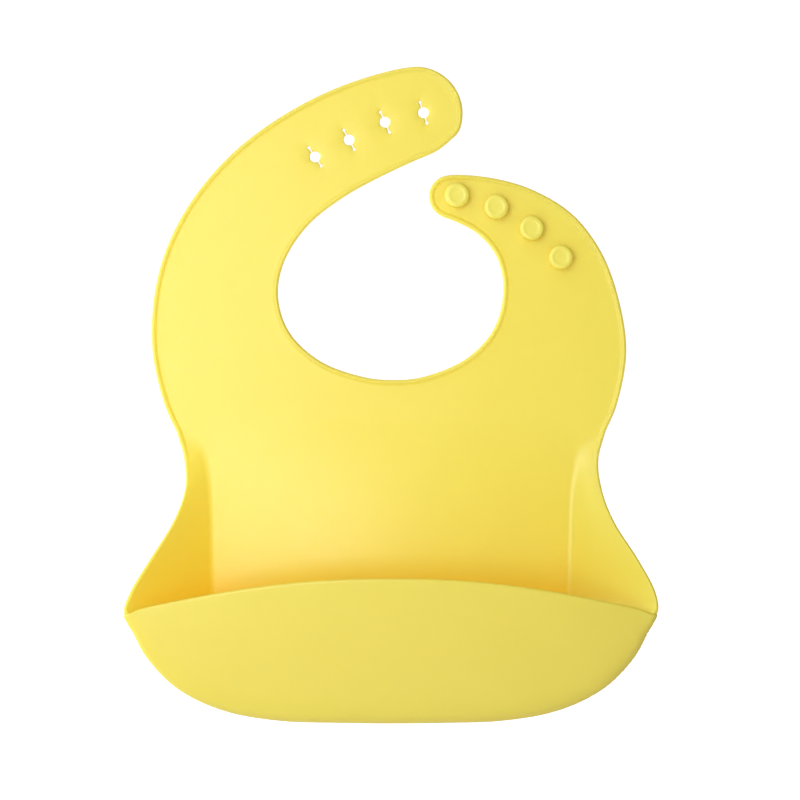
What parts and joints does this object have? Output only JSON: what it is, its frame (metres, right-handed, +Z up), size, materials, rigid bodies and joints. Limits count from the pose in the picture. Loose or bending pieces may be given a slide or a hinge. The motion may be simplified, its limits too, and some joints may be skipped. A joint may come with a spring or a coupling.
{
  "type": "silicone bib",
  "caption": "Moulded silicone baby bib with a deep catch pocket, gusseted sides and a stud-and-hole neck strap fastening.",
  "frame": {"origin": "centre of the neck opening, in the plane of the bib's flat back", "axes": "+X to the viewer's right, +Y out of the back of the bib towards the wearer, +Z up towards the straps; the pocket stands out on the -Y side"},
  "size_m": [0.237, 0.0518, 0.2991],
  "materials": {
    "silicone": "soft matte moulded silicone, pale yellow",
    "stud_silicone": "satin moulded silicone, pale yellow"
  },
  "bodies": {
    "chest": {"chest_panel": "silicone"},
    "hole_strap_1": {"hole_strap_root": "silicone"},
    "hole_strap_2": {"hole_strap_middle": "silicone"},
    "hole_strap_3": {"hole_strap_holes": "silicone"},
    "hole_strap_4": {"hole_strap_tip": "silicone"},
    "stud_strap_1": {"stud_strap_root": "silicone", "stud_4": "stud_silicone"},
    "stud_strap_2": {"stud_strap_middle": "silicone", "stud_2": "stud_silicone", "stud_3": "stud_silicone"},
    "stud_strap_3": {"stud_strap_tip": "silicone", "stud_1": "stud_silicone"},
    "pocket": {"pocket_back": "silicone", "left_gusset": "silicone", "right_gusset": "silicone", "pocket_floor": "silicone"},
    "pocket_wall": {"pocket_front": "silicone"}
  },
  "joints": [
    {"name": "hole_strap_curl_1", "type": "hinge", "parent": "chest", "child": "hole_strap_1", "pos_m": [-0.079, -0.0013, 0.003], "axis": [-0.9781, 0, 0.2079], "range_deg": [-20, 30], "stiffness_Nm_per_rad": 0.05},
    {"name": "hole_strap_curl_2", "type": "hinge", "parent": "hole_strap_1", "child": "hole_strap_2", "pos_m": [-0.0645, -0.0013, 0.0315], "axis": [-0.7771, 0, 0.6293], "range_deg": [-20, 30], "stiffness_Nm_per_rad": 0.03},
    {"name": "hole_strap_curl_3", "type": "hinge", "parent": "hole_strap_2", "child": "hole_strap_3", "pos_m": [-0.0475, -0.0013, 0.0493], "axis": [-0.6018, 0, 0.7986], "range_deg": [-20, 30], "stiffness_Nm_per_rad": 0.03},
    {"name": "hole_strap_curl_4", "type": "hinge", "parent": "hole_strap_3", "child": "hole_strap_4", "pos_m": [-0.0112, -0.0013, 0.067], "axis": [-0.454, 0, 0.891], "range_deg": [-20, 30], "stiffness_Nm_per_rad": 0.03},
    {"name": "stud_strap_curl_1", "type": "hinge", "parent": "chest", "child": "stud_strap_1", "pos_m": [0.08, -0.0013, -0.008], "axis": [-0.9781, 0, -0.2079], "range_deg": [-20, 35], "stiffness_Nm_per_rad": 0.05},
    {"name": "stud_strap_curl_2", "type": "hinge", "parent": "stud_strap_1", "child": "stud_strap_2", "pos_m": [0.0719, -0.0013, 0.0146], "axis": [-0.866, 0, -0.5], "range_deg": [-20, 35], "stiffness_Nm_per_rad": 0.03},
    {"name": "stud_strap_curl_3", "type": "hinge", "parent": "stud_strap_2", "child": "stud_strap_3", "pos_m": [0.0398, -0.0013, 0.034], "axis": [-0.309, 0, -0.9511], "range_deg": [-20, 35], "stiffness_Nm_per_rad": 0.03},
    {"name": "waist_fold", "type": "hinge", "parent": "chest", "child": "pocket", "pos_m": [0, -0.0021, -0.061], "axis": [-1, 0, 0], "range_deg": [-35, 95], "stiffness_Nm_per_rad": 0.4},
    {"name": "pocket_squeeze", "type": "hinge", "parent": "pocket", "child": "pocket_wall", "pos_m": [0, -0.038, -0.197], "axis": [-1, 0, 0], "range_deg": [-12, 28], "stiffness_Nm_per_rad": 0.2, "deforming": ["left_gusset", "right_gusset", "pocket_floor"]}
  ],
  "couplings": [
    {"joint": "hole_strap_curl_2", "follows": "hole_strap_curl_1", "ratio": 1},
    {"joint": "hole_strap_curl_3", "follows": "hole_strap_curl_1", "ratio": 1},
    {"joint": "hole_strap_curl_4", "follows": "hole_strap_curl_1", "ratio": 1},
    {"joint": "stud_strap_curl_2", "follows": "stud_strap_curl_1", "ratio": 1},
    {"joint": "stud_strap_curl_3", "follows": "stud_strap_curl_1", "ratio": 1}
  ]
}
